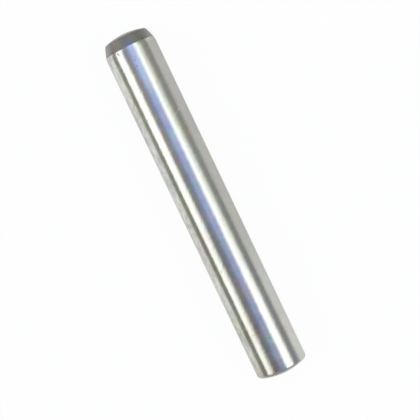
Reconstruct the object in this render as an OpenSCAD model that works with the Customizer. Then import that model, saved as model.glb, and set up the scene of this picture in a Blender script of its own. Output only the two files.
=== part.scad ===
// Ground dowel pin: one bar of hardened steel that locates two plates on each other.
// The shank is ground to a press fit. The point end starts it in its hole: a tapered
// lead-in that runs softly out of the shank and closes on a domed face. The head end
// takes the hammer or the press, so it is domed too, with a rounded edge and no taper.
// The pin lies along X with its middle at the origin and its point end towards +X.

/* [Shank] */
// Ground diameter, the size that fits the hole
pin_d = 10; // [8:0.5:16]
// Length over both domed faces
pin_length = 70; // [20:1:120]

/* [Point end] */
// Length of the lead-in, from the line of the shank to the domed face
lead_length = 2.3; // [1:0.1:4]
// Slope of the lead-in against the pin's axis, in degrees
lead_angle = 20; // [10:1:30]
// Radius of the soft turn from the shank into the lead-in
lead_blend_r = 3; // [0.5:0.5:5]
// Radius of the edge between the lead-in and the domed face
point_edge_r = 0.5; // [0.1:0.1:0.9]
// Radius of the domed face
point_dome_r = 12.5; // [10:0.5:40]
// Length at the tip that stays dark, because the grinding wheel doesn't reach it
unground_length = 2.8; // [1.5:0.1:6]

/* [Head end] */
// Radius of the edge between the shank and the domed face
head_edge_r = 0.7; // [0.1:0.1:1.5]
// Radius of the domed face
head_dome_r = 12.5; // [10:0.5:40]

/* [Hidden] */
$fn = 180;
hair = 0.0003; // an arc stands this much proud of the lines it joins, so that they cross

pin_r = pin_d / 2;
tip = pin_length / 2;

// The pin is half an outline turned round its axis. A point of the outline is [distance
// from the axis, place along it], an angle counts from straight outwards, and both ends
// are worked out as if they pointed up the axis.
function towards(angle) = [cos(angle), sin(angle)];

// How far a dome rises above the circle of radius r that it stands on
function dome_rise(dome_r, r) = dome_r - sqrt(dome_r ^ 2 - r ^ 2);

// Centre of the edge arc, which touches the dome from inside and touches the pin's side.
// The side is a line that leaves the shank at corner_y and leans inwards by slope.
function edge_centre(dome_r, edge_r, corner_y, slope) =
    let (dome_y = tip - dome_r,
         out = pin_r * cos(slope) + (corner_y - dome_y) * sin(slope) - edge_r,
         up = sqrt((dome_r - edge_r) ^ 2 - out ^ 2))
    [0, dome_y] + out * towards(slope) + up * towards(slope + 90);

// Where the lines of the shank and the lead-in would cross, and the blend arc's centre
lead_corner_y = tip - lead_length - dome_rise(point_dome_r, pin_r - lead_length * tan(lead_angle));
lead_blend = [pin_r - lead_blend_r, lead_corner_y - lead_blend_r * tan(lead_angle / 2)];

// What stands outside an arc between two angles, out to past the corner it rounds
module outside_arc(centre, r, a0, a1) {
    difference() {
        polygon([centre, for (a = [a0, (a0 + a1) / 2, a1]) centre + 2 * r * towards(a)]);
        translate(centre) circle(r = r + hair);
    }
}

// What stands beyond an end's dome, and outside the edge arc that leads into it
module outside_dome(dome_r, edge_r, corner_y, slope) {
    middle = [0, tip - dome_r];
    edge = edge_centre(dome_r, edge_r, corner_y, slope);
    to_edge = edge - middle;
    translate(middle)
        difference() {
            square(2 * dome_r);
            circle(r = dome_r);
        }
    outside_arc(edge, edge_r, slope, atan2(to_edge.y, to_edge.x));
}

module pin_outline() {
    past_point = tip + point_edge_r;
    past_head = tip + head_edge_r;
    difference() {
        polygon([[0, -past_head], [pin_r, -past_head], [pin_r, lead_corner_y],
                 [pin_r - (past_point - lead_corner_y) * tan(lead_angle), past_point],
                 [0, past_point]]);
        outside_arc(lead_blend, lead_blend_r, 0, lead_angle);
        outside_dome(point_dome_r, point_edge_r, lead_corner_y, lead_angle);
        mirror([0, 1]) outside_dome(head_dome_r, head_edge_r, 0, 0);
    }
}

// The stretch of the pin between two places along its axis
module turned(y0, y1) {
    rotate_extrude()
        intersection() {
            pin_outline();
            translate([0, y0]) square([pin_d, y1 - y0]);
        }
}

// All that the grinding wheel reached, and the head end, which is polished with it
module ground_steel() {
    color("silver") turned(-pin_length, tip - unground_length);
}

// The tip, still dark from hardening
module unground_tip() {
    color("dimgray") turned(tip - unground_length, pin_length);
}

module dowel_pin() {
    rotate([0, 90, 0]) {
        ground_steel();
        unground_tip();
    }
}

dowel_pin();
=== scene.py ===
# %% [markdown]
# # A ground dowel pin on white paper
# A dowel pin locates two plates on each other. It is cut from a steel bar, turned at both
# ends, hardened, and ground between two wheels until its shank is a true, bright cylinder.
# This lesson turns the pin from its outline, gives it its two finishes, and lights it with
# the long soft lamps that make a bright cylinder look round.
#
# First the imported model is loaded. It is the frame that every piece is measured against:
# the pin lies along X with its middle at the origin and its point end towards +X.

# %% Load the frame
import math

import bpy
from mathutils import Matrix, Vector


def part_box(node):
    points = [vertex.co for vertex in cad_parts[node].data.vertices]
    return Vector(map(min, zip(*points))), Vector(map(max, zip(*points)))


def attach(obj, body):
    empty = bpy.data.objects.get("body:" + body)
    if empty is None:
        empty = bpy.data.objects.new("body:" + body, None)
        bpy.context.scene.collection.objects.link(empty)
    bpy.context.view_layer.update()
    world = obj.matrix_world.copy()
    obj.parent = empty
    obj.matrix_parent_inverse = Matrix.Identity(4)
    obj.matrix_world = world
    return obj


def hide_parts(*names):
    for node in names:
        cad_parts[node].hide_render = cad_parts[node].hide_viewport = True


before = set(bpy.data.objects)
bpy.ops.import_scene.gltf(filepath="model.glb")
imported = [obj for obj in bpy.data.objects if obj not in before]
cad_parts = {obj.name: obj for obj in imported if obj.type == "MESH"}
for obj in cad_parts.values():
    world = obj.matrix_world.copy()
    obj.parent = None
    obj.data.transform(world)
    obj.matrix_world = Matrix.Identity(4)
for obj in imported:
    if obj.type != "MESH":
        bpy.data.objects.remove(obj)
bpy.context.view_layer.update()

# %% [markdown]
# ## Sizes
# The pin's overall sizes come from the CAD box, so that the new mesh fills it exactly. The
# arcs at the ends are a turner's sizes, in millimetres, and are the same as in the part's
# source. Blender works in metres here, so one constant turns millimetres into them.

# %% Sizes of the pin
MM = 0.001

low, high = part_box("dowel_pin")
TIP = high.x
PIN_R = (high.y - low.y) / 2

LEAD_LENGTH = 2.3 * MM  # from the line of the shank to the domed face
LEAD_ANGLE = math.radians(20)
LEAD_BLEND_R = 3 * MM  # the soft turn from the shank into the lead-in
POINT_EDGE_R = 0.5 * MM
HEAD_EDGE_R = 0.7 * MM
DOME_R = 12.5 * MM  # both ends

GROUND_LINE_X = TIP - 2.8 * MM  # the grinding wheel stops here
GROUND_LINE_TILT = math.radians(1.1)  # the blank stood a little crooked between the wheels

print("tip at %.2f mm, radius %.3f mm" % (TIP / MM, PIN_R / MM))

# %% [markdown]
# ## Camera
# The camera stands above the pin and looks straight at it from 234 mm, a hand's reach, so
# the far end is drawn a little smaller. It is described from the pin: `lean` says how far
# the view leans off the vertical round the pin's own axis, `tilt` how much nearer the point
# end is than the head end, and `turn` how far the pin lies turned in the picture.

# %% Camera
LEAN = math.radians(6.5)
TILT = 0.0476
TURN = math.radians(25.48)


def look_at_pin(distance, lens, lean, tilt, turn, off_axis):
    """Adds the camera. off_axis is where it stands, along the pin and across it."""
    back = Matrix.Rotation(lean, 3, "X") @ Matrix.Rotation(tilt, 3, "Y") @ Vector((0, 0, 1))
    across = Matrix.Rotation(lean, 3, "X") @ Vector((0, -1, 0))
    along = back.cross(across)
    right = math.cos(turn) * across - math.sin(turn) * along
    up = math.cos(turn) * along + math.sin(turn) * across
    place = distance * back + off_axis[0] * along + off_axis[1] * across
    bpy.ops.object.camera_add(location=place)
    camera = bpy.context.object
    camera.name = "camera"
    camera.data.lens = lens
    camera.data.sensor_width = 36
    camera.data.clip_start = 0.01
    facing = Matrix((right, up, back)).transposed().to_4x4()
    camera.matrix_world = Matrix.Translation(place) @ facing
    bpy.context.scene.camera = camera
    return camera


camera = look_at_pin(
    distance=234 * MM, lens=107.1, lean=LEAN, tilt=TILT, turn=TURN,
    off_axis=(-1.452 * MM, 0.445 * MM))
bpy.context.scene.view_settings.view_transform = "Standard"
print("camera at", tuple(round(c / MM, 1) for c in camera.location), "mm")

# %% [markdown]
# ## The outline
# A cylinder with bevelled ends would be the quick way to a pin, but a bevel leaves the
# faces flat, and both faces of a real pin are domed. A pin is a turned body, so here only
# half its outline is drawn, from the middle of the head end to the middle of the point
# end, and then spun round the X axis. A primitive gives the first point. From there `spin`
# draws the arcs and `extrude` the straight lines, as a turner would follow them with a
# tool: each arc starts in the direction in which the last line ended, so the surface has
# no kink that a reflection would show.
#
# The shank gets a short row of faces beside each arc. Smooth shading bends the light over
# the row next to a curve, and that row has to be short for the rest to mirror truly.

# %% Where the arcs meet
def dome_rise(r):
    """How far a dome rises above the circle of radius r that it stands on."""
    return DOME_R - math.sqrt(DOME_R ** 2 - r ** 2)


def edge_arc(edge_r, corner_x, slope):
    """Centre of the arc that touches the pin's side and the dome, and the angle it turns."""
    dome_x = TIP - DOME_R
    out = PIN_R * math.cos(slope) + (corner_x - dome_x) * math.sin(slope) - edge_r
    along = math.sqrt((DOME_R - edge_r) ** 2 - out ** 2)
    x = dome_x + out * math.sin(slope) + along * math.cos(slope)
    z = out * math.cos(slope) - along * math.sin(slope)
    return x, z, math.atan2(x - dome_x, z) - slope


corner_x = TIP - LEAD_LENGTH - dome_rise(PIN_R - LEAD_LENGTH * math.tan(LEAD_ANGLE))
blend_x = corner_x - LEAD_BLEND_R * math.tan(LEAD_ANGLE / 2)
head_x, head_z, head_turn = edge_arc(HEAD_EDGE_R, 0, 0)
point_x, point_z, point_turn = edge_arc(POINT_EDGE_R, corner_x, LEAD_ANGLE)
print("blend starts at %.2f mm, head edge at %.2f mm" % (blend_x / MM, -head_x / MM))

# %% Tools that draw the outline
SUPPORT = 0.08 * MM  # the short row of faces beside an arc
DOME_STEPS = 20
HEAD_EDGE_STEPS = 16
POINT_ARC_STEPS = 12
SHANK_STEPS = 34
LEAD_STEPS = 6


def deselect_all():
    for obj in bpy.context.selected_objects:
        obj.select_set(False)


def draw_arc(x, z, angle, steps):
    """Spins the last point round (x, z), clockwise as seen with X to the right."""
    bpy.ops.mesh.spin(steps=steps, angle=-angle, center=(x, 0, z), axis=(0, 1, 0))


def draw_line(length, angle=0.0, steps=1):
    """Extrudes the last point towards the point end, sinking by angle."""
    step = Vector((math.cos(angle), 0, -math.sin(angle))) * length / steps
    for _ in range(steps):
        bpy.ops.mesh.extrude_region_move(TRANSFORM_OT_translate={"value": step})


def draw_side(length, steps, angle=0.0):
    """A straight side of the pin, with a short row of faces at each end."""
    draw_line(SUPPORT, angle)
    draw_line(length - 2 * SUPPORT, angle, steps)
    draw_line(SUPPORT, angle)


shank_length = blend_x + head_x
lead_start_x = blend_x + LEAD_BLEND_R * math.sin(LEAD_ANGLE)
lead_end_x = point_x + POINT_EDGE_R * math.sin(LEAD_ANGLE)
lead_line = (lead_end_x - lead_start_x) / math.cos(LEAD_ANGLE)
print("straight sides: shank %.2f mm, lead-in %.2f mm" % (shank_length / MM, lead_line / MM))

# %% Draw half the outline
deselect_all()
bpy.ops.mesh.primitive_plane_add(size=MM, location=(0, 0, 0))
pin = bpy.context.object
pin.name = "ground_dowel_pin"
bpy.ops.object.mode_set(mode="EDIT")
bpy.ops.mesh.select_all(action="SELECT")
bpy.ops.mesh.merge(type="CENTER")
bpy.ops.transform.translate(value=(-TIP, 0, 0))

draw_arc(-(TIP - DOME_R), 0, math.pi / 2 - head_turn, DOME_STEPS)
draw_arc(-head_x, head_z, head_turn, HEAD_EDGE_STEPS)
draw_side(shank_length, SHANK_STEPS)
draw_arc(blend_x, PIN_R - LEAD_BLEND_R, LEAD_ANGLE, POINT_ARC_STEPS)
draw_side(lead_line, LEAD_STEPS, LEAD_ANGLE)
draw_arc(point_x, point_z, point_turn, POINT_ARC_STEPS)
draw_arc(TIP - DOME_R, 0, math.pi / 2 - LEAD_ANGLE - point_turn, DOME_STEPS)
bpy.ops.object.mode_set(mode="OBJECT")
start, end = pin.data.vertices[0].co, pin.data.vertices[-1].co
print("outline of %d points, from x %.4f to %.4f mm" % (
    len(pin.data.vertices), start.x / MM, end.x / MM))
print("its ends lie %.5f and %.5f mm off the axis" % (start.z / MM, end.z / MM))

# %% [markdown]
# ## The spin
# A full turn round the X axis makes the solid. The spin leaves a doubled seam, and a whole
# ring of points at each pole, so the doubles are merged. After that the normals are made
# to point outwards, because a spin can turn a shape inside out.

# %% Spin it round the pin's axis
SPIN_STEPS = 288
MERGE_WITHIN = 0.001 * MM

bpy.ops.object.mode_set(mode="EDIT")
bpy.ops.mesh.select_all(action="SELECT")
bpy.ops.mesh.spin(steps=SPIN_STEPS, angle=2 * math.pi, center=(0, 0, 0), axis=(1, 0, 0))
bpy.ops.mesh.select_all(action="SELECT")
bpy.ops.mesh.remove_doubles(threshold=MERGE_WITHIN)
bpy.ops.mesh.normals_make_consistent(inside=False)
bpy.ops.object.mode_set(mode="OBJECT")
print("spun in %d steps: %d points" % (SPIN_STEPS, len(pin.data.vertices)))

# %% [markdown]
# ## The ground line
# The grinding wheels touch the pin only where it has its full diameter, so the tip keeps
# the dark skin of the hardening furnace. A mask in one material could draw the line between
# the two. It is cut into the mesh with `bisect` instead, which puts an edge on the surface
# without moving it, because each finish then has its own faces and the line stays sharp.
# The plane is tilted a little, because the blank never stands quite square to the wheels.

# %% Cut the ground line and give the tip its own faces
bpy.ops.object.mode_set(mode="EDIT")
bpy.ops.mesh.select_all(action="SELECT")
line_normal = Vector((math.cos(GROUND_LINE_TILT), math.sin(GROUND_LINE_TILT), 0))
bpy.ops.mesh.bisect(plane_co=(GROUND_LINE_X, 0, 0), plane_no=line_normal)
bpy.ops.mesh.select_all(action="DESELECT")
bpy.ops.object.mode_set(mode="OBJECT")
bpy.ops.object.shade_smooth()
for name in ("ground_steel", "hardening_skin"):
    pin.data.materials.append(bpy.data.materials.new(name))
for face in pin.data.polygons:
    past_line = (face.center - Vector((GROUND_LINE_X, 0, 0))).dot(line_normal) > 0
    face.material_index = 1 if past_line else 0
print("pin mesh: %d faces, %d of them on the dark tip" % (
    len(pin.data.polygons), sum(f.material_index for f in pin.data.polygons)))

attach(pin, "root")
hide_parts("dowel_pin")

# %% [markdown]
# ## Materials: helpers
# A colour is written as the hex value that a colour picker shows, and one function turns
# it into the linear numbers that the nodes reckon with. Another adds a node, with its
# settings and whatever its inputs are joined to, and hands back one of its outputs.
#
# A pattern gets its real size from a Mapping node of the type Texture: its Scale is the
# size of one lump, in metres, along each axis of the pattern.

# %% Helpers for materials
def linear(hex_colour):
    """The linear RGBA of an sRGB colour written as #rrggbb."""
    parts = [int(hex_colour[i:i + 2], 16) / 255 for i in (1, 3, 5)]
    return [p / 12.92 if p <= 0.04045 else ((p + 0.055) / 1.055) ** 2.4 for p in parts] + [1.0]


def node(tree, kind, inputs=(), out=0, **settings):
    """Adds a node and returns one output. An input is a value or another node's output."""
    new = tree.nodes.new(kind)
    for name, value in settings.items():
        setattr(new, name, value)
    for name, value in dict(inputs).items():
        if isinstance(value, bpy.types.NodeSocket):
            tree.links.new(value, new.inputs[name])
        else:
            new.inputs[name].default_value = value
    return new.outputs[out] if new.outputs else None


def fresh_tree(owner):
    """The empty node tree of a material or a world."""
    owner.use_nodes = True
    owner.node_tree.nodes.clear()
    return owner.node_tree


def place_and_axes(tree):
    """The place on the object, and its X, Y and Z by name."""
    place = node(tree, "ShaderNodeTexCoord", out="Object")
    return place, node(tree, "ShaderNodeSeparateXYZ", {0: place}).node.outputs


print("mid grey #808080 is", [round(c, 3) for c in linear("#808080")])

# %% [markdown]
# ## Marks of use
# A pin that has been in a box and in a hole or two has a few marks: nicks where another
# pin hit it, a scratch, a smear of dried oil. They are too shallow to cut into the mesh, so
# they are laid over the colour. Each is a small ellipse with a soft edge, given by its
# place along and across the pin, the way it slants, its length and width, all in
# millimetres and degrees, its colour and its strength.
# Some are painted light: the glints and reflections of a few dents, a burr and the tip.

# %% Helper for marks of use
MARK_FULL = 0.5  # a mark has its full colour up to this share of its half-size
MARK_GONE = 1.3  # and has faded out here


def with_marks_and_reflections(tree, place, colour, marks):
    """The colour with each mark laid over it: real marks, and painted reflections and glints
    alike.
    """
    for x, y, slant, length, width, hex_colour, strength in marks:
        z = math.sqrt((PIN_R / MM) ** 2 - y ** 2)
        on_mark = node(tree, "ShaderNodeMapping", {
            "Vector": place, "Location": Vector((x, y, z)) * MM,
            "Rotation": (0, 0, math.radians(slant)),
            "Scale": Vector((length / 2, width / 2, 1)) * MM}, vector_type="TEXTURE")
        far = node(tree, "ShaderNodeVectorMath", {0: on_mark}, out="Value", operation="LENGTH")
        cover = node(tree, "ShaderNodeMapRange", {
            "Value": far, "From Min": MARK_GONE, "From Max": MARK_FULL, "To Max": strength},
            interpolation_type="SMOOTHSTEP")
        colour = node(tree, "ShaderNodeMix", {
            "Factor": cover, 6: colour, 7: linear(hex_colour)}, out=2, data_type="RGBA")
    return colour


SHANK_MARKS_AND_REFLECTIONS = [
    (29.5, -0.47, 0, 13.0, 1.8, "#e0e0dc", 0.55),  # wiped clean of oil by a finger
    (31.72, 2.02, 5, 0.46, 0.20, "#3c3e36", 1.0),  # a nick of two dents at the point end
    (31.48, 1.87, 5, 0.36, 0.18, "#4a4c44", 1.0),
    (29.4, -0.45, 140, 0.34, 0.18, "#8c92bc", 0.8),  # small dents on top, painted with the blue and white they reflect: painted reflections
    (29.0, -0.10, 40, 0.30, 0.18, "#ffffff", 0.8),
    (29.9, -0.70, 140, 0.30, 0.16, "#8d93b8", 0.8),
    (28.2, -0.35, 60, 0.34, 0.22, "#858bc4", 0.9),
    (24.15, -2.30, 145, 0.70, 0.17, "#85857c", 0.45),  # a short rub
    (25.3, 2.02, 165, 1.30, 0.44, "#a8aa9e", 0.45),  # a smear of dried oil
    (18.5, 2.30, 130, 0.36, 0.20, "#6c6d64", 0.7),  # a dark nick
    (17.4, -2.87, 125, 2.10, 0.22, "#eeeeda", 0.55),  # a scratch
    (17.95, -3.62, 150, 0.50, 0.22, "#fffff0", 0.9),  # the burr where it stops, with its glint painted on: a painted highlight
    (-12.5, 2.05, 145, 0.60, 0.22, "#8a8b82", 0.6),  # two faint rubs
    (-25.6, 1.85, 145, 0.45, 0.22, "#7e7f76", 0.5),
    (-32.2, -3.20, 0, 2.6, 0.70, "#cdcee2", 0.6),  # blue oil at the head end
]
print(len(SHANK_MARKS_AND_REFLECTIONS), "marks on the shank")

# %% [markdown]
# ## Ground steel
# The shank is hardened steel, ground between two wheels. It mirrors its surroundings, but
# every grain of the wheel leaves a hair-fine mark round the pin, so a reflection is smeared
# along the pin and stays sharp across it. The real marks are a few hundredths of a
# millimetre wide. They are drawn five times as coarse, or they would not show.
#
# No ground pin is quite even. Pins that rub on each other in their box are scuffed in
# slanting lumps. Both patterns are a noise whose lumps have a size in millimetres.

# %% Grinding marks and scuffs
GRIND_MARK = 0.25 * MM
GRIND_STREAK = 25  # how many times as long round the pin as it is wide
SCUFF = Vector((1.5, 0.75, 0.75)) * MM  # length and width of a slanting lump
SCUFF_SLANT = math.radians(145)


def grinding_marks(tree, place):
    """Noise that is narrow along the pin and long round it."""
    length = GRIND_STREAK * GRIND_MARK
    round_pin = node(tree, "ShaderNodeMapping", {
        "Vector": place, "Scale": (GRIND_MARK, length, length)}, vector_type="TEXTURE")
    return node(tree, "ShaderNodeTexNoise", {"Vector": round_pin, "Scale": 1.0, "Detail": 2.0})


def slanting_scuffs(tree, place):
    """Noise in slanting lumps."""
    slanting = node(tree, "ShaderNodeMapping", {
        "Vector": place, "Rotation": (0, 0, SCUFF_SLANT), "Scale": SCUFF},
        vector_type="TEXTURE")
    return node(tree, "ShaderNodeTexNoise", {"Vector": slanting, "Scale": 1.0, "Detail": 3.0})


print("grinding marks %.2f mm wide and %.1f mm long" % (
    GRIND_MARK / MM, GRIND_STREAK * GRIND_MARK / MM))

# %% [markdown]
# ## How bright the steel is
# Scuffs and wider patches make the steel brighter and duller by turns, most of all on the
# side that pins roll on, and less on top and underneath. A few pits are left from the bar
# as dark dots. The wheel runs out at the ground line and leaves a ragged, duller rim.

# %% Brightness of ground steel
PATCH = 8 * MM
PATCH_SHARE = 0.9  # how much the patches count, where the scuffs count 1
EVEN = 0.95  # the middle of scuffs and patches together
ROLLED_FROM, ROLLED_TO = 2.4 * MM, 4.0 * MM  # places across the pin
SCUFFED_TOP, SCUFFED_SIDE = 0.20, 0.95
BELOW_FROM, BELOW_TO = 2.0 * MM, -1.0 * MM  # heights
SCUFFED_BELOW = 0.40
STEEL_BRIGHT = 0.95
MARKS_SHOW = 0.10


def scuffed(tree, place, axes, marks, scuffs):
    """How bright the scuffed steel is."""
    patches = node(tree, "ShaderNodeTexNoise", {
        "Vector": place, "Scale": 1 / PATCH, "Detail": 1.0})
    uneven = node(tree, "ShaderNodeMath", {
        0: patches, 1: PATCH_SHARE, 2: scuffs}, operation="MULTIPLY_ADD")
    uneven = node(tree, "ShaderNodeMath", {0: uneven, 1: EVEN}, operation="SUBTRACT")
    rolled_on = node(tree, "ShaderNodeMapRange", {
        "Value": axes["Y"], "From Min": ROLLED_FROM, "From Max": ROLLED_TO,
        "To Min": SCUFFED_TOP, "To Max": SCUFFED_SIDE})
    underneath = node(tree, "ShaderNodeMapRange", {
        "Value": axes["Z"], "From Min": BELOW_FROM, "From Max": BELOW_TO,
        "To Min": SCUFFED_SIDE, "To Max": SCUFFED_BELOW})
    strength = node(tree, "ShaderNodeMath", {0: rolled_on, 1: underneath}, operation="MINIMUM")
    bright = node(tree, "ShaderNodeMath", {
        0: uneven, 1: strength, 2: STEEL_BRIGHT}, operation="MULTIPLY_ADD")
    return node(tree, "ShaderNodeMath", {
        0: marks, 1: MARKS_SHOW, 2: bright}, operation="MULTIPLY_ADD")


print("patches of %.0f mm, scuffs of %.2f by %.2f mm" % (
    PATCH / MM, SCUFF.x / MM, SCUFF.y / MM))

# %% Pits, and the rim at the ground line
PIT_SPACING = 1.9 * MM
PIT_R = 0.10 * MM
PIT_DARK = 0.6  # what a pit leaves of the brightness
RIM_RAGGED = 1.2 * MM  # how far the scuffs shift the rim
RIM_FROM, RIM_TO = GROUND_LINE_X + 0.60 * MM, GROUND_LINE_X + 1.0 * MM
RIM_DULL = 0.8


def pits(tree, place):
    """Dark dots, at the middles of the cells of a Voronoi pattern."""
    near_pit = node(tree, "ShaderNodeTexVoronoi", {
        "Vector": place, "Scale": 1 / PIT_SPACING}, out="Distance")
    return node(tree, "ShaderNodeMapRange", {
        "Value": near_pit, "From Min": 0.5 * PIT_R / PIT_SPACING,
        "From Max": PIT_R / PIT_SPACING, "To Min": PIT_DARK, "To Max": 1.0})


def run_out(tree, axes, scuffs):
    """The duller rim, ragged by the scuffs."""
    ragged = node(tree, "ShaderNodeMath", {
        0: scuffs, 1: RIM_RAGGED, 2: axes["X"]}, operation="MULTIPLY_ADD")
    return node(tree, "ShaderNodeMapRange", {
        "Value": ragged, "From Min": RIM_FROM, "From Max": RIM_TO,
        "To Min": 1.0, "To Max": RIM_DULL})


print("pits of %.1f mm, about %.1f mm apart" % (2 * PIT_R / MM, PIT_SPACING / MM))

# %% [markdown]
# ## The finished steel
# A thin film of oil tints the steel in patches, which show best on top: coloured noise,
# mixed into the steel's own grey.
#
# Roughness alone would blur a reflection the same way in every direction. Anisotropy does
# what the grinding marks do: a tangent that runs round X, turned by a quarter, smears a
# reflection along X and leaves it sharp across. The bump is shallow, a few hundredths of a
# millimetre, and fades on the side, where the scuffs are hardly more than stains.

# %% Ground steel
STEEL = "#cfd0cb"
STEEL_EDGE = "#e6e6e6"  # tint of a reflection at a glancing angle
STEEL_ROUGH_FROM, STEEL_ROUGH_TO = 0.19, 0.24
NOISE_LOW, NOISE_HIGH = 0.3, 0.7  # nearly all of a noise lies between these
OIL_PATCH = 3.0 * MM
OIL_FULL_TO, OIL_THIN_FROM = 1.0 * MM, 1.8 * MM  # distances from the top, across the pin
OIL_ON_TOP, OIL_ASIDE = 0.40, 0.15
DENT_DEPTH = 0.018 * MM
GRIND_DEPTH = 0.12  # how deep the grinding marks are, where the scuffs are 1
DENTED_TO, STAINED_FROM = 2.9 * MM, 3.6 * MM  # places across the pin
DENTED_SIDE = 0.25


def oil_film(tree, place, axes):
    """The steel's grey, tinted by oil."""
    film = node(tree, "ShaderNodeTexNoise", {
        "Vector": place, "Scale": 1 / OIL_PATCH, "Detail": 3.0, "Roughness": 0.7}, out="Color")
    off_top = node(tree, "ShaderNodeMath", {0: axes["Y"]}, operation="ABSOLUTE")
    film_share = node(tree, "ShaderNodeMapRange", {
        "Value": off_top, "From Min": OIL_FULL_TO, "From Max": OIL_THIN_FROM,
        "To Min": OIL_ON_TOP, "To Max": OIL_ASIDE})
    return node(tree, "ShaderNodeMix", {
        "Factor": film_share, 6: linear(STEEL), 7: film}, out=2, data_type="RGBA")


def ground_steel(material):
    tree = fresh_tree(material)
    place, axes = place_and_axes(tree)
    marks = grinding_marks(tree, place)
    scuffs = slanting_scuffs(tree, place)

    bright = scuffed(tree, place, axes, marks, scuffs)
    for duller in (pits(tree, place), run_out(tree, axes, scuffs)):
        bright = node(tree, "ShaderNodeMath", {0: bright, 1: duller}, operation="MULTIPLY")
    tint = oil_film(tree, place, axes)
    colour = node(tree, "ShaderNodeHueSaturation", {"Color": tint, "Value": bright})
    colour = with_marks_and_reflections(tree, place, colour, SHANK_MARKS_AND_REFLECTIONS)

    height = node(tree, "ShaderNodeMath", {
        0: marks, 1: GRIND_DEPTH, 2: scuffs}, operation="MULTIPLY_ADD")
    dented = node(tree, "ShaderNodeMapRange", {
        "Value": axes["Y"], "From Min": DENTED_TO, "From Max": STAINED_FROM,
        "To Min": 1.0, "To Max": DENTED_SIDE})
    bump = node(tree, "ShaderNodeBump", {
        "Strength": dented, "Distance": DENT_DEPTH, "Height": height})
    tangent = node(tree, "ShaderNodeTangent", direction_type="RADIAL", axis="X")
    rough = node(tree, "ShaderNodeMapRange", {
        "Value": marks, "From Min": NOISE_LOW, "From Max": NOISE_HIGH,
        "To Min": STEEL_ROUGH_FROM, "To Max": STEEL_ROUGH_TO})
    shader = node(tree, "ShaderNodeBsdfPrincipled", {
        "Base Color": colour, "Metallic": 1.0, "Roughness": rough,
        "Specular Tint": linear(STEEL_EDGE),
        "Anisotropic": 0.9, "Anisotropic Rotation": 0.25, "Tangent": tangent, "Normal": bump})
    node(tree, "ShaderNodeOutputMaterial", {"Surface": shader})


ground_steel(pin.data.materials[0])
print("ground steel:", len(pin.data.materials[0].node_tree.nodes), "nodes")

# %% [markdown]
# ## Hardening skin
# The tip never met the wheel, so it keeps the dark grey skin that grew in the furnace. The
# skin is thin iron oxide on steel: still a metal to the eye, but darker, and dull, because
# the turned surface under it was never polished. The lathe's marks run in rings round the
# axis, so their noise is read at the distance from the axis and the place along it: a Wave
# texture in rings would be simpler, but too even. Beside the ground line, near the top, the
# skin is painted faintly blue, a painted reflection of the tent's blue top, and its sides
# are painted paler, a painted reflection of the bright paper.

# %% Patterns of the hardening skin
CLOUD = 1.0 * MM
GRAIN = 0.3 * MM
TURNING_MARK = 0.35 * MM  # width of a ring; the lathe's own are half as wide
SKIN_BRIGHT = 0.635
CLOUDS_SHOW, GRAIN_SHOWS, TURNING_SHOWS = 0.35, 0.20, 0.18

SKIN_MARKS_AND_REFLECTIONS = [
    (33.2, 4.0, 0, 4.0, 2.6, "#908e85", 0.9),  # painted reflection: the sides paler, where they mirror the bright paper
    (33.2, -4.0, 0, 4.0, 1.7, "#86847b", 0.9),
    (33.2, -4.55, 0, 4.0, 1.2, "#9d9b92", 0.9),
    (32.9, -0.80, 90, 2.4, 1.8, "#84828e", 0.8),  # painted reflection of the tent's blue top
    (32.3, -0.75, 90, 1.9, 0.9, "#787b9c", 0.8),
    (33.7, 2.0, 60, 0.26, 0.20, "#b4b4ac", 0.8),  # knocks
    (34.0, 0.6, 20, 0.30, 0.16, "#52524e", 0.8),
    (33.1, 2.9, 60, 0.30, 0.20, "#4c4c48", 0.8),
    (32.35, 2.75, 20, 0.34, 0.24, "#3e3e3a", 0.8),
    (32.4, -3.2, 20, 0.44, 0.24, "#46463f", 0.8),
]


def turning_rings(tree, place, axes):
    """Noise in rings round the pin's axis."""
    off_axis = node(tree, "ShaderNodeVectorMath", {
        0: place, 1: (0, 1, 1)}, operation="MULTIPLY")
    radius = node(tree, "ShaderNodeVectorMath", {0: off_axis}, out="Value", operation="LENGTH")
    on_ring = node(tree, "ShaderNodeCombineXYZ", {"X": axes["X"], "Y": radius})
    return node(tree, "ShaderNodeTexNoise", {
        "Vector": on_ring, "Scale": 1 / TURNING_MARK, "Detail": 1.0})


print(len(SKIN_MARKS_AND_REFLECTIONS), "marks on the tip")

# %% Hardening skin
SKIN = "#7b786f"
SKIN_OIL = 0.08  # how much the oil tints it
SKIN_ROUGH_FROM, SKIN_ROUGH_TO = 0.58, 0.68
GRAIN_DEPTH = 0.02 * MM
TURNING_DEPTH = 1.5  # how deep the rings are, where the grain is 1


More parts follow.
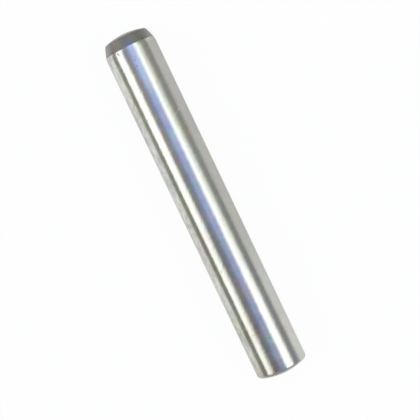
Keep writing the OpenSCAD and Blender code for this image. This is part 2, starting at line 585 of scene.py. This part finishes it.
def hardening_skin(material):
    tree = fresh_tree(material)
    place, axes = place_and_axes(tree)
    clouds = node(tree, "ShaderNodeTexNoise", {
        "Vector": place, "Scale": 1 / CLOUD, "Detail": 3.0})
    grain = node(tree, "ShaderNodeTexNoise", {
        "Vector": place, "Scale": 1 / GRAIN, "Detail": 2.0})
    turning = turning_rings(tree, place, axes)

    bright = SKIN_BRIGHT
    for pattern, shows in (
            (clouds, CLOUDS_SHOW), (grain, GRAIN_SHOWS), (turning, TURNING_SHOWS)):
        bright = node(tree, "ShaderNodeMath", {
            0: pattern, 1: shows, 2: bright}, operation="MULTIPLY_ADD")
    film = node(tree, "ShaderNodeTexNoise", {
        "Vector": place, "Scale": 1 / OIL_PATCH, "Detail": 3.0}, out="Color")
    tint = node(tree, "ShaderNodeMix", {
        "Factor": SKIN_OIL, 6: linear(SKIN), 7: film}, out=2, data_type="RGBA")
    colour = node(tree, "ShaderNodeHueSaturation", {"Color": tint, "Value": bright})
    colour = with_marks_and_reflections(tree, place, colour, SKIN_MARKS_AND_REFLECTIONS)

    height = node(tree, "ShaderNodeMath", {
        0: turning, 1: TURNING_DEPTH, 2: grain}, operation="MULTIPLY_ADD")
    bump = node(tree, "ShaderNodeBump", {
        "Strength": 1.0, "Distance": GRAIN_DEPTH, "Height": height})
    rough = node(tree, "ShaderNodeMapRange", {
        "Value": clouds, "From Min": NOISE_LOW, "From Max": NOISE_HIGH,
        "To Min": SKIN_ROUGH_FROM, "To Max": SKIN_ROUGH_TO})
    shader = node(tree, "ShaderNodeBsdfPrincipled", {
        "Base Color": colour, "Metallic": 1.0, "Roughness": rough,
        "Coat Weight": 0.8, "Coat Roughness": 0.4, "Normal": bump})
    node(tree, "ShaderNodeOutputMaterial", {"Surface": shader})


hardening_skin(pin.data.materials[1])
print("hardening skin:", len(pin.data.materials[1].node_tree.nodes), "nodes")

# %% [markdown]
# ## White paper
# The pin lies on white paper. Looked at straight, the paper is plain white and keeps a
# faint shadow of the pin. In the steel it is seen as it is lit: brightest on the left,
# where the lamp stands, and past the point end, dimmer on the right, and dimmer again past
# the head end and under the belly of the pin, where the pin shades it.
#
# A bright cylinder shows nothing but its surroundings, squeezed into bands along its
# length. Both the paper and the tent are therefore painted as bands that run along the
# pin, and each band has one colour near the point end and another near the head end. Two
# colour ramps hold them, and a mix runs from the one to the other.

# %% Bands that change from end to end
PAPER_SPAN = 100 * MM  # to each side of the pin

# millimetres to the left of the pin; paper near the point end; paper near the head end
PAPER_BANDS = [
    (-100, "#c1c1bb", "#e4e4e0"),
    (-45, "#d7d7d3", "#f0f0ee"),
    (-20, "#dddcd9", "#fbfbf9"),
    (-3, "#e4e3df", "#ffffff"),
    (3, "#ffffff", "#f9f8f2"),
    (40, "#ffffff", "#f5f4ee"),
    (100, "#ecece6", "#f6f5ee"),
]


def bands_end_to_end(tree, across, bands, *changes):
    """Painted bands. across runs from 0 to 1 over the bands.

    A band is its place between the first and the last one, and its colours in order along
    the pin. changes holds a factor for each change from one colour to the next."""
    first, last = bands[0][0], bands[-1][0]
    painted = None
    for column in range(1, len(bands[0])):
        ramp = node(tree, "ShaderNodeValToRGB", {0: across})
        stops = ramp.node.color_ramp.elements
        for _ in bands[2:]:
            stops.new(0.5)
        for stop, band in zip(stops, bands):
            stop.position = (band[0] - first) / (last - first)
            stop.color = linear(band[column])
        painted = ramp if painted is None else node(tree, "ShaderNodeMix", {
            "Factor": changes[column - 2], 6: painted, 7: ramp}, out=2, data_type="RGBA")
    return painted


print(len(PAPER_BANDS), "bands across", 2 * PAPER_SPAN / MM, "mm of paper")

# %% The paper as the steel sees it
PAPER_CHANGES_TO = -33 * MM  # the head-end colours hold from here on
HEAD_SHADE_FROM, HEAD_SHADE_TO = -55 * MM, -42 * MM
HEAD_SHADE = 0.50
POINT_LIGHT_FROM, POINT_LIGHT_TO = 34 * MM, 40 * MM
POINT_LIGHT = 1.3
BELLY_FROM, BELLY_TO = 0.5 * PIN_R, 1.05 * PIN_R  # distances from the pin's middle line
BELLY_SHADE = 0.3  # how bright the paper under the belly is


def clear_of_belly(tree, axes):
    """0 under the belly of the pin, and 1 where the paper lies open."""
    off_middle = node(tree, "ShaderNodeMath", {0: axes["Y"]}, operation="ABSOLUTE")
    off_centre = node(tree, "ShaderNodeMath", {0: axes["X"]}, operation="ABSOLUTE")
    past_end = node(tree, "ShaderNodeMath", {
        0: off_centre, 1: TIP - PIN_R}, operation="SUBTRACT")
    near = node(tree, "ShaderNodeMath", {0: off_middle, 1: past_end}, operation="MAXIMUM")
    return node(tree, "ShaderNodeMapRange", {
        "Value": near, "From Min": BELLY_FROM, "From Max": BELLY_TO},
        interpolation_type="SMOOTHSTEP")


def paper_in_steel(tree, axes, clear):
    """The paper's bands, shaded past the head end and under the belly."""
    across = node(tree, "ShaderNodeMapRange", {
        "Value": axes["Y"], "From Min": -PAPER_SPAN, "From Max": PAPER_SPAN})
    to_head = node(tree, "ShaderNodeMapRange", {
        "Value": axes["X"], "From Min": 0.0, "From Max": PAPER_CHANGES_TO})
    lit = bands_end_to_end(tree, across, PAPER_BANDS, to_head)
    past_head = node(tree, "ShaderNodeMapRange", {
        "Value": axes["X"], "From Min": HEAD_SHADE_FROM, "From Max": HEAD_SHADE_TO,
        "To Min": HEAD_SHADE, "To Max": 1.0}, interpolation_type="SMOOTHSTEP")
    past_point = node(tree, "ShaderNodeMapRange", {
        "Value": axes["X"], "From Min": POINT_LIGHT_FROM, "From Max": POINT_LIGHT_TO,
        "To Min": 1.0, "To Max": POINT_LIGHT})
    past_ends = node(tree, "ShaderNodeMath", {
        0: past_head, 1: past_point}, operation="MULTIPLY")
    lit = node(tree, "ShaderNodeHueSaturation", {"Color": lit, "Value": past_ends})
    open_light = node(tree, "ShaderNodeMapRange", {"Value": clear, "To Min": BELLY_SHADE})
    return node(tree, "ShaderNodeHueSaturation", {"Color": lit, "Value": open_light})


print("the paper is shaded up to %.2f mm from the pin's middle line" % (BELLY_TO / MM))

# %% [markdown]
# ## Two looks of one paper
# Light Path tells the eye and the steel apart. The eye gets plain white paper. A small
# share of it is a matt surface that takes the pin's shadow, and under the belly that share
# is larger, which shows only from the side.

# %% White paper
PAPER_R = 4.0
PAPER_SHOWN = 0.95  # how much of the paper is plain where it is seen; the rest is shaded
BELLY_SHOWN = 0.4  # the same, under the belly of the pin


def white_paper(material):
    tree = fresh_tree(material)
    axes = place_and_axes(tree)[1]
    clear = clear_of_belly(tree, axes)
    in_steel = paper_in_steel(tree, axes, clear)

    ray = node(tree, "ShaderNodeLightPath").node.outputs
    shown = node(tree, "ShaderNodeMix", {
        "Factor": ray["Is Camera Ray"], 6: in_steel, 7: linear("#ffffff")},
        out=2, data_type="RGBA")
    seen = ray["Is Camera Ray"]
    for mirrored in (ray["Is Glossy Ray"], ray["Is Transmission Ray"]):
        seen = node(tree, "ShaderNodeMath", {0: seen, 1: mirrored}, operation="MAXIMUM")
    plain_share = node(tree, "ShaderNodeMapRange", {
        "Value": clear, "To Min": BELLY_SHOWN, "To Max": PAPER_SHOWN})
    share = node(tree, "ShaderNodeMath", {0: seen, 1: plain_share}, operation="MULTIPLY")
    matt = node(tree, "ShaderNodeBsdfDiffuse", {"Color": linear("#ffffff")})
    plain = node(tree, "ShaderNodeEmission", {"Color": shown})
    mixed = node(tree, "ShaderNodeMixShader", {0: share, 1: matt, 2: plain})
    node(tree, "ShaderNodeOutputMaterial", {"Surface": mixed})


deselect_all()
bpy.ops.mesh.primitive_circle_add(
    vertices=96, radius=PAPER_R, fill_type="NGON", location=(0, 0, low.z))
paper = bpy.context.object
paper.name = "white_paper"
bpy.ops.object.transform_apply()
paper.data.materials.append(bpy.data.materials.new("white_paper"))
white_paper(paper.data.materials[0])
print("paper lies at z = %.3f mm" % (low.z / MM))

# %% [markdown]
# ## White room
# Past the paper's edge and the tent's there is only a plain white room, at the brightness
# of white paper. It shows in no view of the pin from above.

# %% White room
world = bpy.data.worlds.new("white_room")
bpy.context.scene.world = world
room = fresh_tree(world)
plain_white = node(room, "ShaderNodeBackground", {"Color": linear("#ffffff"), "Strength": 1.0})
node(room, "ShaderNodeOutputWorld", {"Surface": plain_white})
print("world:", world.name)

# %% [markdown]
# ## Light tent
# Small bright goods are lit in a tent: here a half-round one, two metres across, that
# stands over the pin. Its cloth is grey, with a long lamp behind it on the left, a second
# one right of the top, and blue daylight coming through at the top. Lamps inside a plain
# tent would light it too, but painted cloth puts each band just where the steel shows it.
# The cloth glows, so it is the light of the scene. The camera looks through it.

# %% Colours of the tent
TENT_R = 1.0
TENT_HEAD_END = -1.2
TENT_POINT_END = 1.6
LAMP = 2.0  # brightness of the brightest cloth, where 1 is white paper
TENT_END = "#767571"

# degrees to the right of straight up; near the point end; near the head end; past it
TENT_BANDS = [
    (-90, "#84867f", "#777771", "#7c7b77"),
    (-82, "#767871", "#62625c", "#7c7b77"),
    (-69, "#767871", "#6a6a64", "#7c7b77"),
    (-64, "#f5f6f2", "#d8d8d2", "#7c7b77"),
    (-57, "#fafbf8", "#e4e2da", "#7c7b77"),
    (-47, "#ffffff", "#c8c7bc", "#7c7b77"),
    (-43, "#ffffff", "#959389", "#7c7b77"),
    (-39, "#ffffff", "#64635c", "#7c7b77"),
    (-33.5, "#d1d2ce", "#474741", "#858480"),
    (-28.5, "#8b8a86", "#454441", "#8b8a86"),
    (-19, "#828289", "#505056", "#8b8a86"),
    (-8, "#8189a4", "#605f6e", "#8b8a86"),
    (3, "#9bacd5", "#7b7890", "#8b8a86"),
    (13, "#9caed4", "#7b7784", "#8b8a86"),
    (20, "#a2b1d1", "#99959d", "#858480"),
    (24, "#b9c6dc", "#cdccd0", "#94938f"),
    (29, "#dfe7ee", "#ffffff", "#ffffff"),
    (34, "#f0f6f3", "#ffffff", "#ffffff"),
    (44, "#c0c4be", "#ffffff", "#ffffff"),
    (53, "#999c94", "#fafaf9", "#fafaf9"),
    (61, "#838579", "#b0b2b0", "#b0b2b0"),
    (68, "#7c7d76", "#74767a", "#7c7b77"),
    (84, "#7a7a75", "#6b6b70", "#7c7b77"),
    (90, "#868681", "#9a9a97", "#8c8b87"),
]
print(len(TENT_BANDS), "bands from", TENT_BANDS[0][0], "to", TENT_BANDS[-1][0], "degrees")

# %% Tent cloth
# Places along the pin where the cloth's colours change
POINT_COLOURS_TO = 0.08
LEFT_COLOURS_TO = 0.0  # on the left, where the lamp isn't quite parallel to the pin
HEAD_COLOURS_FROM = -0.24
DIM_FROM, DIM_TO = -0.58, -0.70  # the left lamp ends here, and plain cloth follows
LEFT = math.radians(-30)  # everything further from the top counts as left


def tent_cloth(material):
    tree = fresh_tree(material)
    axes = place_and_axes(tree)[1]
    to_right = node(tree, "ShaderNodeMath", {0: axes["Y"], 1: -1.0}, operation="MULTIPLY")
    angle = node(tree, "ShaderNodeMath", {0: to_right, 1: axes["Z"]}, operation="ARCTAN2")
    across = node(tree, "ShaderNodeMapRange", {
        "Value": angle, "From Min": -math.pi / 2, "From Max": math.pi / 2})
    changes_from = node(tree, "ShaderNodeMapRange", {
        "Value": angle, "From Min": LEFT, "From Max": 0.0,
        "To Min": LEFT_COLOURS_TO, "To Max": POINT_COLOURS_TO})
    to_head = node(tree, "ShaderNodeMapRange", {
        "Value": axes["X"], "From Min": changes_from, "From Max": HEAD_COLOURS_FROM})
    past_lamp = node(tree, "ShaderNodeMapRange", {
        "Value": axes["X"], "From Min": DIM_FROM, "From Max": DIM_TO})
    cloth = bands_end_to_end(tree, across, TENT_BANDS, to_head, past_lamp)
    glow = node(tree, "ShaderNodeEmission", {"Color": cloth, "Strength": LAMP})
    node(tree, "ShaderNodeOutputMaterial", {"Surface": glow})


def tent_end(material):
    tree = fresh_tree(material)
    glow = node(tree, "ShaderNodeEmission", {"Color": linear(TENT_END), "Strength": LAMP})
    node(tree, "ShaderNodeOutputMaterial", {"Surface": glow})


print("the cloth's colours change from %.2f to %.2f m" % (POINT_COLOURS_TO, HEAD_COLOURS_FROM))

# %% Put up the tent
deselect_all()
bpy.ops.mesh.primitive_cylinder_add(
    vertices=180, radius=TENT_R, depth=TENT_POINT_END - TENT_HEAD_END, end_fill_type="NGON",
    location=((TENT_POINT_END + TENT_HEAD_END) / 2, 0, low.z), rotation=(0, math.pi / 2, 0))
tent = bpy.context.object
tent.name = "light_tent"
bpy.ops.object.transform_apply()
bpy.ops.object.mode_set(mode="EDIT")
bpy.ops.mesh.bisect(plane_co=(0, 0, low.z), plane_no=(0, 0, 1), clear_inner=True)
bpy.ops.object.mode_set(mode="OBJECT")
for name in ("tent_cloth", "tent_end"):
    tent.data.materials.append(bpy.data.materials.new(name))
for face in tent.data.polygons:
    closes_end = abs(face.normal.x) > 0.9
    face.material_index = 1 if closes_end else 0
tent_cloth(tent.data.materials[0])
tent_end(tent.data.materials[1])
tent.visible_camera = False
print("tent:", len(tent.data.polygons), "faces")

# %% [markdown]
# ## Last step
# Last, the view layer is updated.

# %% Update the view layer
bpy.context.view_layer.update()
